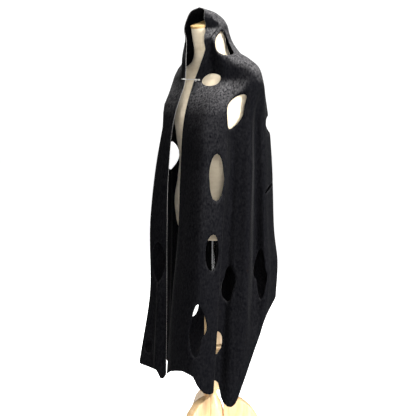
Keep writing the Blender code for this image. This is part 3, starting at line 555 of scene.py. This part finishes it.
def control_net():
    """The cape's fold lines at each level from the crown seam to the hem, in metres."""
    folds = table(FOLD_COLUMNS, FOLDS.values())
    net = [upper_row(section, folds["share"], folds["tuck"], TUCKED.get(name, 0))
           for name, section in UPPER_SECTIONS.items()]
    shin_z = (HIP_Z + folds["hem_z"]) / 2
    flat = np.ones(len(shin_z))
    levels = (
        (folds["chest_at"], folds["chest"], CHEST_Z * flat),
        ((folds["chest_at"] + folds["hip_at"]) / 2, folds["waist"], WAIST_Z * flat),
        (folds["hip_at"], folds["hip"], HIP_Z * flat),
        ((folds["hip_at"] + folds["hem_at"]) / 2, folds["shin"], shin_z),
        (folds["hem_at"], folds["hem"], folds["hem_z"]),
    )
    for bearing, reach, z in levels:
        turn = np.radians(bearing)
        net.append(np.stack([reach * np.sin(turn), -reach * np.cos(turn), z], axis=1))
    return np.array(net) * CM


NET = control_net()
RUNS = [section[0] for section in UPPER_SECTIONS.values()] + list(BODY_RUNS)
FOLD_COUNT = len(FOLDS)
MIDDLE = list(FOLDS).index("centre_back")
TINY = 1e-9           # keeps a division away from nought


def cloth_at(fold, run):
    """Points of the cape's outer face, by fold number round it and cm down it."""
    across = spline_weights(np.arange(FOLD_COUNT), fold)
    down = spline_weights(RUNS, run)
    place = np.einsum("pa,pb,bak->pk", across, down, NET, optimize=True)
    hem = table(HEM_COLUMNS, HEM_CUT)
    to_hem = np.clip((np.asarray(run) - RUNS[-3]) / (RUNS[-1] - RUNS[-3]), 0, 1) ** 2
    place[:, 2] -= np.interp(fold, hem["fold"], hem["lower"]) * to_hem * CM
    turn = table(TURN_COLUMNS, RIM_TURN)
    at_rim = np.clip(1 - np.asarray(fold) / TURN_FOLDS, 0, 1) * CM
    place[:, 0] += np.interp(run, turn["run"], turn["turn_x"]) * at_rim
    place[:, 1] += np.interp(run, turn["run"], turn["turn_y"]) * at_rim
    hang = table(SHOULDER_COLUMNS, SHOULDER_HANG)
    start, end = SHOULDER_FOLDS
    over = np.sin(np.pi * np.clip((np.asarray(fold) - start) / (end - start), 0, 1)) ** 2
    inward = np.interp(run, hang["run"], hang["inward"]) * over * CM
    reach = np.maximum(np.linalg.norm(place[:, :2], axis=1), AXIS_CLEAR)
    place[:, :2] *= (1 - inward / reach)[:, None]
    return place


def slopes(fold, run):
    """How the outer face moves for one fold across and for one cm down."""
    h = 0.02
    right, left = np.minimum(fold + h, FOLD_COUNT - 1), np.maximum(fold - h, 0)
    low, high = np.minimum(run + h, RUNS[-1]), np.maximum(run - h, RUNS[0])
    across = (cloth_at(right, run) - cloth_at(left, run)) / (right - left)[:, None]
    down = (cloth_at(fold, low) - cloth_at(fold, high)) / (low - high)[:, None]
    return across, down


def hole_outline(hole):
    """A cut-out's outline on the cloth, walked out from its centre by true length."""
    h = dict(zip(HOLE_COLUMNS, hole))
    runs = np.linspace(2, RUNS[-1], 600)
    height = cloth_at(np.full(len(runs), h["fold"]), runs)[:, 2]
    centre = (h["fold"], runs[np.argmin(np.abs(height - h["z"] * CM))])
    turn = np.arange(HOLE_SIDES) * 2 * math.pi / HOLE_SIDES
    tilt = math.radians(h["tilt"])
    radius = 0.5 * CM / np.hypot(np.cos(turn - tilt) / h["across"],
                                 np.sin(turn - tilt) / h["tall"])
    at = np.tile(np.array(centre, float), (HOLE_SIDES, 1))
    across, down = (np.linalg.norm(x[0]) for x in slopes(at[:1, 0], at[:1, 1]))
    way = np.stack([np.cos(turn) / across, -np.sin(turn) / down], axis=1)
    for _ in range(HOLE_STEPS):
        across, down = slopes(at[:, 0], at[:, 1])
        speed = np.linalg.norm(across * way[:, :1] + down * way[:, 1:], axis=1)
        at = at + way * (radius / HOLE_STEPS / np.maximum(speed, TINY))[:, None]
        at = np.clip(at, (0.1, 1), (FOLD_COUNT - 1.1, RUNS[-1] - 1))
    return at


def inside(points, loop):
    """Which points lie inside a closed outline."""
    x, y = points[:, :1], points[:, 1:]
    x0, y0 = loop[:, 0], loop[:, 1]
    x1, y1 = np.roll(x0, -1), np.roll(y0, -1)
    rise = np.where(y1 == y0, 1e-12, y1 - y0)
    crosses = ((y0 > y) != (y1 > y)) & (x < (x1 - x0) * (y - y0) / rise + x0)
    return crosses.sum(axis=1) % 2 == 1


def spaced(stops, steps):
    """Places from stop to stop, with the given number of steps in each interval."""
    parts = [np.linspace(a, b, n + 1)[:-1] for a, b, n in zip(stops, stops[1:], steps)]
    return np.concatenate(parts + [[stops[-1]]])


def cloth_net(folds, runs, holes):
    """Triangles over a patch of the cape with its cut-outs left open."""
    stretch = np.array([1.0, 1 / 16])      # makes the pattern's cells about square
    margin = 1.12                          # keeps the grid off the outlines
    grid = np.array([(f, r) for r in runs for f in folds])
    edge = (np.isin(grid[:, 0], (folds[0], folds[-1]))
            | np.isin(grid[:, 1], (runs[0], runs[-1])))
    loops = [loop for loop in holes
             if loop[:, 0].min() > folds[0] and loop[:, 0].max() < folds[-1]
             and loop[:, 1].min() > runs[0] and loop[:, 1].max() < runs[-1]]
    keep = np.ones(len(grid), bool)
    for loop in loops:
        middle = loop.mean(axis=0)
        keep &= ~inside(grid, middle + (loop - middle) * margin)
    keep |= edge
    grid, edge = grid[keep], edge[keep]
    points = np.concatenate([grid] + loops)
    order = list(np.flatnonzero(edge))
    border = []
    for side in (0, 1):
        for end in ((folds[0], folds[-1]), (runs[0], runs[-1]))[side]:
            row = sorted((i for i in order if grid[i, side] == end),
                         key=lambda i: grid[i, 1 - side])
            border += list(zip(row, row[1:]))
    start = len(grid)
    for loop in loops:
        ring = range(start, start + len(loop))
        border += list(zip(ring, list(ring[1:]) + [ring[0]]))
        start += len(loop)
    flat = [Vector(p * stretch) for p in points]
    flat, _, faces, _, _, _ = delaunay_2d_cdt(flat, [(int(a), int(b)) for a, b in border],
                                              [], 0, 1e-7)
    points = np.array([tuple(p) for p in flat]) / stretch
    faces = np.array(faces)
    middles = points[faces].mean(axis=1)
    open_air = np.zeros(len(faces), bool)
    for loop in loops:
        open_air |= inside(middles, loop)
    faces = faces[~open_air]
    used, faces = np.unique(faces, return_inverse=True)
    return points[used], faces.reshape(-1, 3)


# Creases pressed and hung into the wool: from one fold and run to another, how wide each is,
# and how high in mm it stands, or how deep it lies if below zero.
CREASE_COLUMNS = ("fold", "run", "to_fold", "to_run", "width", "height")
CREASES = (
    (0.5, 17, 1.2, 33, 1.6, -2.5), (2.2, 15, 2.6, 40, 1.2, 2.5), (3.4, 22, 3.0, 44, 2.2, -3.0),
    (5.2, 24, 4.6, 40, 1.5, 2.0), (7.5, 27, 6.2, 48, 2.0, -2.5), (0.7, 44, 0.9, 96, 2.4, -2.5),
    (1.6, 52, 1.3, 118, 3.0, 2.5), (0.3, 70, 0.5, 130, 2.0, 2.0), (1.9, 84, 2.3, 132, 2.6, -2.5),
    (5.1, 56, 5.0, 80, 2.2, -2.0), (5.7, 90, 6.2, 128, 2.4, 2.5), (6.6, 60, 6.5, 118, 1.8, -2.0),
    (8.0, 44, 8.2, 92, 2.4, 2.5), (7.1, 84, 7.6, 126, 2.0, -2.5), (9.6, 62, 9.9, 124, 2.6, -2.5),
    (10.8, 40, 10.6, 70, 2.8, 2.0), (11.6, 58, 11.9, 120, 3.0, 3.0),
    (12.7, 34, 13.0, 92, 2.4, -2.5), (14.6, 40, 14.9, 100, 2.6, -3.0),
    (15.6, 64, 15.9, 126, 3.0, 2.5), (17.2, 46, 17.4, 110, 2.4, -2.5),
    (18.6, 30, 18.9, 58, 2.2, 2.5), (19.6, 66, 19.3, 126, 2.4, -2.5),
    (20.5, 40, 20.4, 88, 2.0, 2.0), (21.2, 84, 21.6, 130, 2.2, -2.5),
    (22.4, 36, 22.5, 72, 2.2, -2.0), (23.2, 50, 23.3, 128, 1.8, 2.0),
    (4.4, 5, 6.0, 12, 1.4, -1.5), (17.5, 5, 19.4, 13, 1.6, -1.5), (9.0, 14, 11.0, 24, 2.2, -2.5),
    (15.5, 15, 17.6, 25, 2.2, 2.5), (23.0, 14, 22.8, 30, 1.6, -2.0),
)


def creased(outer, out):
    """The outer face moved by its creases, which wander a little and fade at both ends."""
    moved = outer.copy()
    along = np.linspace(0, 1, 24)
    wander, swing, fading = 0.12, 5, 0.7
    for row in CREASES:
        c = dict(zip(CREASE_COLUMNS, row))
        line = cloth_at(c["fold"] + (c["to_fold"] - c["fold"]) * along
                        + wander * np.sin(along * swing + c["run"]),
                        c["run"] + (c["to_run"] - c["run"]) * along)
        off = np.linalg.norm(outer[:, None] - line[None], axis=2)
        near = off.argmin(axis=1)
        fade = np.sin(np.pi * np.clip(along[near], 0.0, 1.0)) ** fading
        rise = np.exp(-(off.min(axis=1) / (c["width"] * CM)) ** 2) * fade * c["height"] / 1000
        moved += out * rise[:, None]
    return moved


# A mixer for colours shares its sockets' names with others, so they go by number.
MIX_SOCKETS, MIX_RESULT = (0, 6, 7), 2


def height_of(finish, source, output):
    """The Z of a direction or a place, from a node that gives it."""
    given = finish.node_tree.nodes.new(source)
    height = finish.node_tree.nodes.new("ShaderNodeSeparateXYZ")
    finish.node_tree.links.new(given.outputs[output], height.inputs["Vector"])
    return height.outputs["Z"]


def wool_finish():
    """Black felt with a rough nap, with a painted top light that makes it paler where the
    shoulders and the hood face up.
    """
    finish, shader = plain_surface("felted_black_wool", (0.008, 0.008, 0.01), 0.95)
    shader.inputs["Specular IOR Level"].default_value = 0.02
    shader.inputs["Sheen Weight"].default_value = 0.035
    shader.inputs["Sheen Roughness"].default_value = 0.22
    shader.inputs["Sheen Tint"].default_value = (0.78, 0.77, 0.76, 1)
    mottle = add_grain(finish, 190, (1, 1, 0.55))
    nap = add_grain(finish, 420, (1, 1, 0.7))
    mixed = worked(finish, "MULTIPLY_ADD", nap, 0.35, mottle)
    deep = spread(finish, mixed, 0.5, 0.86, ((0.0008, 0.0009, 0.0016), (0.0068, 0.0068, 0.0078)))
    # The pale stop is a painted highlight: the tone the upward faces take under the light from
    # above.
    painted_top_light = spread(finish, mixed, 0.52, 0.86, ((0.003, 0.003, 0.004), (0.100, 0.097, 0.099)))
    # Painted top light: the pale tone is mixed in where the surface faces up, strongest about
    # the shoulders and the hood.
    turned_up = mapped(finish, height_of(finish, "ShaderNodeNewGeometry", "Normal"),
                       start=(-0.02, 0.42), way="SMOOTHSTEP")
    shoulders = mapped(finish, height_of(finish, "ShaderNodeTexCoord", "Object"),
                       start=(1.24, 1.34), end=(0.12, 1))
    painted_top_light_mask = worked(finish, "MULTIPLY", turned_up, shoulders)
    both = finish.node_tree.nodes.new("ShaderNodeMix")
    both.data_type = "RGBA"
    for socket, value in zip(MIX_SOCKETS, (painted_top_light_mask, deep, painted_top_light)):
        finish.node_tree.links.new(value, both.inputs[socket])
    finish.node_tree.links.new(both.outputs[MIX_RESULT], shader.inputs["Base Color"])
    raise_bump(finish, shader, mixed, 0.0018, 0.42)
    return finish


FELT = wool_finish()
# The rim faces along the front edges are pale grey: a painted highlight for the light caught
# along the front edges.
PALE_EDGE_PAINTED, edge_shader = plain_surface("wool_edge_painted_highlight", (0.16, 0.155, 0.15), 0.9)
vary(PALE_EDGE_PAINTED, edge_shader, "Base Color", add_grain(PALE_EDGE_PAINTED, 300, (1, 1, 1)), 0.35, 0.70,
     ((0.07, 0.07, 0.07), (0.26, 0.25, 0.24)))
SEAM_GAP = GAP / 60   # the dressed seams are all but shut, so that no light shows through
SEAM_RUNS, SEAM_FOLDS, SEAM_REACH = 8, 0.5, 0.001     # how far the crown and back seams act
ON_SEAM, ON_EDGE = 0.02, 0.01          # nearer than this, in folds, a point is on it
RAW_BULGE, RAW_SOFT = 0.0007, 0.0006                  # how a raw edge is rounded


def outward_of(fold, run):
    """The direction straight out of the cloth at each place."""
    across, down = slopes(fold, run)
    out = np.cross(across, down)
    out /= np.linalg.norm(out, axis=1)[:, None]
    return out


def wall_layers(fold, run, side):
    """The outer and the inner face of one piece of the wool, and the way out of it."""
    outer, out = cloth_at(fold, run), outward_of(fold, run)
    if (out[:, :2] * outer[:, :2]).sum() < 0:
        out = -out
    outer = creased(outer, out)
    at_seam = (run < SEAM_RUNS) | (np.abs(fold - MIDDLE) < SEAM_FOLDS)
    out[:, 0] = np.where(at_seam & (np.abs(outer[:, 0]) < SEAM_REACH), 0, out[:, 0])
    out /= np.linalg.norm(out, axis=1)[:, None]
    inner = outer - out * WOOL
    for layer in (outer, inner):
        layer[:, 0] = np.where(at_seam, side * np.maximum(side * layer[:, 0], SEAM_GAP),
                               layer[:, 0])
        shut = (((run <= 1e-6) | (np.abs(fold - MIDDLE) < ON_SEAM))
                & (np.abs(layer[:, 0]) < SEAM_REACH))
        layer[:, 0] = np.where(shut, side * SEAM_GAP, layer[:, 0])
    return outer, inner, out


def open_edges(faces):
    """The edges that only one triangle has, in its own direction."""
    edges = np.concatenate([faces[:, [0, 1]], faces[:, [1, 2]], faces[:, [2, 0]]])
    there = {tuple(e) for e in edges.tolist()}
    return [(i, j) for i, j in there if (j, i) not in there]


def off_the_rim(outer, out, rim):
    """The direction off the cloth at each point of its rim."""
    away = np.zeros_like(outer)
    for i, j in rim:
        reach = np.cross(outer[j] - outer[i], out[i])
        reach /= max(np.linalg.norm(reach), TINY)
        away[i] += reach
        away[j] += reach
    return away / np.maximum(np.linalg.norm(away, axis=1), TINY)[:, None]


def sharpen_seams(mesh, at_stitch):
    """Keeps the edges between sewn points sharp, so that a seam has no pale rounding."""
    ends = np.empty(2 * len(mesh.edges), np.int32)
    mesh.edges.foreach_get("vertices", ends)
    mesh.edges.foreach_set("use_edge_sharp", at_stitch[ends.reshape(-1, 2)].all(axis=1))


def felt_wall(name, folds, runs, side, node):
    """One piece of the wool with its cut-outs, as a wall with softly rounded raw edges."""
    points, faces = cloth_net(folds, runs, CUT_OUTS)
    fold, run = points.T
    outer, inner, out = wall_layers(fold, run, side)
    a, b, c = (outer[faces[:, k]] for k in range(3))
    if (np.cross(b - a, c - a) * out[faces[:, 0]]).sum() < 0:
        faces = faces[:, ::-1]
    rim = open_edges(faces)
    sewn = ((run <= runs[0] + 1e-6) | (np.abs(fold - MIDDLE) < ON_SEAM)
            | ((run >= runs[-1] - 1e-6) & (runs[-1] < RUNS[-1])))
    away = np.where(sewn[:, None], 0, off_the_rim(outer, out, rim))
    n = len(outer)
    rim_points = sorted({i for edge in rim for i in edge})
    spot = {i: 2 * n + k for k, i in enumerate(rim_points)}
    bulge = (outer[rim_points] + inner[rim_points]) / 2 + away[rim_points] * RAW_BULGE
    soft = out[rim_points] * np.where(sewn[rim_points], 0, RAW_SOFT)[:, None]
    outer[rim_points] -= soft
    inner[rim_points] += soft
    all_faces = faces.tolist() + (faces[:, ::-1] + n).tolist()
    all_faces += [(j, i, spot[i], spot[j]) for i, j in rim]
    all_faces += [(spot[j], spot[i], i + n, j + n) for i, j in rim]
    place = np.concatenate([outer, inner, bulge]) + np.array([STAND_X, STAND_Y, 0])
    mesh = bpy.data.meshes.new(name)
    mesh.from_pydata([tuple(p) for p in place.tolist()], [], all_faces)
    mesh.validate()
    mesh.update()
    mesh.shade_smooth()
    at_stitch = np.zeros(len(place), bool)
    at_stitch[rim_points] = sewn[rim_points]
    at_stitch[n:2 * n] = at_stitch[:n]
    sharpen_seams(mesh, at_stitch)
    mesh.materials.append(FELT)
    mesh.materials.append(PALE_EDGE_PAINTED)
    # The rim faces on the two front edges take the painted highlight.
    for k, (i, j) in enumerate(rim):
        if max(fold[i], fold[j]) < ON_EDGE or min(fold[i], fold[j]) > FOLD_COUNT - 1 - ON_EDGE:
            for face in (2 * len(faces) + k, 2 * len(faces) + len(rim) + k):
                mesh.polygons[face].material_index = 1
    wall = bpy.data.objects.new(name, mesh)
    bpy.context.scene.collection.objects.link(wall)
    settle(wall, node)


CUT_OUTS = [hole_outline(hole) for hole in HOLES.values()]
COARSE = 1
CROWN_RUN, CHEST_RUN = 4, BODY_RUNS[0]
HOOD_RUNS = spaced([0, CROWN_RUN, COLLAR_RUN], [8 // COARSE, 40 // COARSE])
BODY_ROWS = spaced([COLLAR_RUN, CHEST_RUN, RUNS[-1]], [36 // COARSE, 110 // COARSE])
LEFT_FOLDS = np.linspace(0, MIDDLE, MIDDLE * 10 // COARSE + 1)
RIGHT_FOLDS = np.linspace(MIDDLE, FOLD_COUNT - 1, (FOLD_COUNT - 1 - MIDDLE) * 10 // COARSE + 1)
felt_wall("felt_hood_left", LEFT_FOLDS, HOOD_RUNS, 1, "hood_left")
felt_wall("felt_hood_right", RIGHT_FOLDS, HOOD_RUNS, -1, "hood_right")
felt_wall("felt_cape_left", LEFT_FOLDS, BODY_ROWS, 1, "cape_left")
felt_wall("felt_cape_right", RIGHT_FOLDS, BODY_ROWS, -1, "cape_right")

# The closure: a steel bar pushed through both front edges at the throat, with a ring round
# it and a tab of black leather that hangs below the ring on the wearer's left edge.
WELD_REACH, SOFT_EDGE, SOFT_ANGLE = 0.00002, 0.0004, math.radians(40)
steel, steel_shader = plain_surface("satin_steel", (0.78, 0.76, 0.74), 0.3, 1.0)
vary(steel, steel_shader, "Roughness", add_grain(steel, 260, (1, 1, 1)), 0.3, 0.7,
     ((0.22,) * 3, (0.40,) * 3))
leather, leather_shader = plain_surface("black_leather", (0.018, 0.018, 0.02), 0.42)
pebble = leather.node_tree.nodes.new("ShaderNodeTexVoronoi")
pebble.inputs["Scale"].default_value = 900
pebble_place = leather.node_tree.nodes.new("ShaderNodeTexCoord")
leather.node_tree.links.new(pebble_place.outputs["Object"], pebble.inputs["Vector"])
raise_bump(leather, leather_shader, pebble.outputs["Distance"], 0.0003, 0.7)
for node, finish in (("pin_bar", steel), ("pin_ring", steel), ("pin_tab", leather)):
    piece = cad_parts[node]
    for slot in piece.material_slots:
        slot.material = finish
    weld = piece.modifiers.new("weld", "WELD")
    weld.merge_threshold = WELD_REACH
    soften = piece.modifiers.new("soften", "BEVEL")
    soften.width = SOFT_EDGE
    soften.segments = 2
    soften.limit_method = "ANGLE"
    soften.angle_limit = SOFT_ANGLE
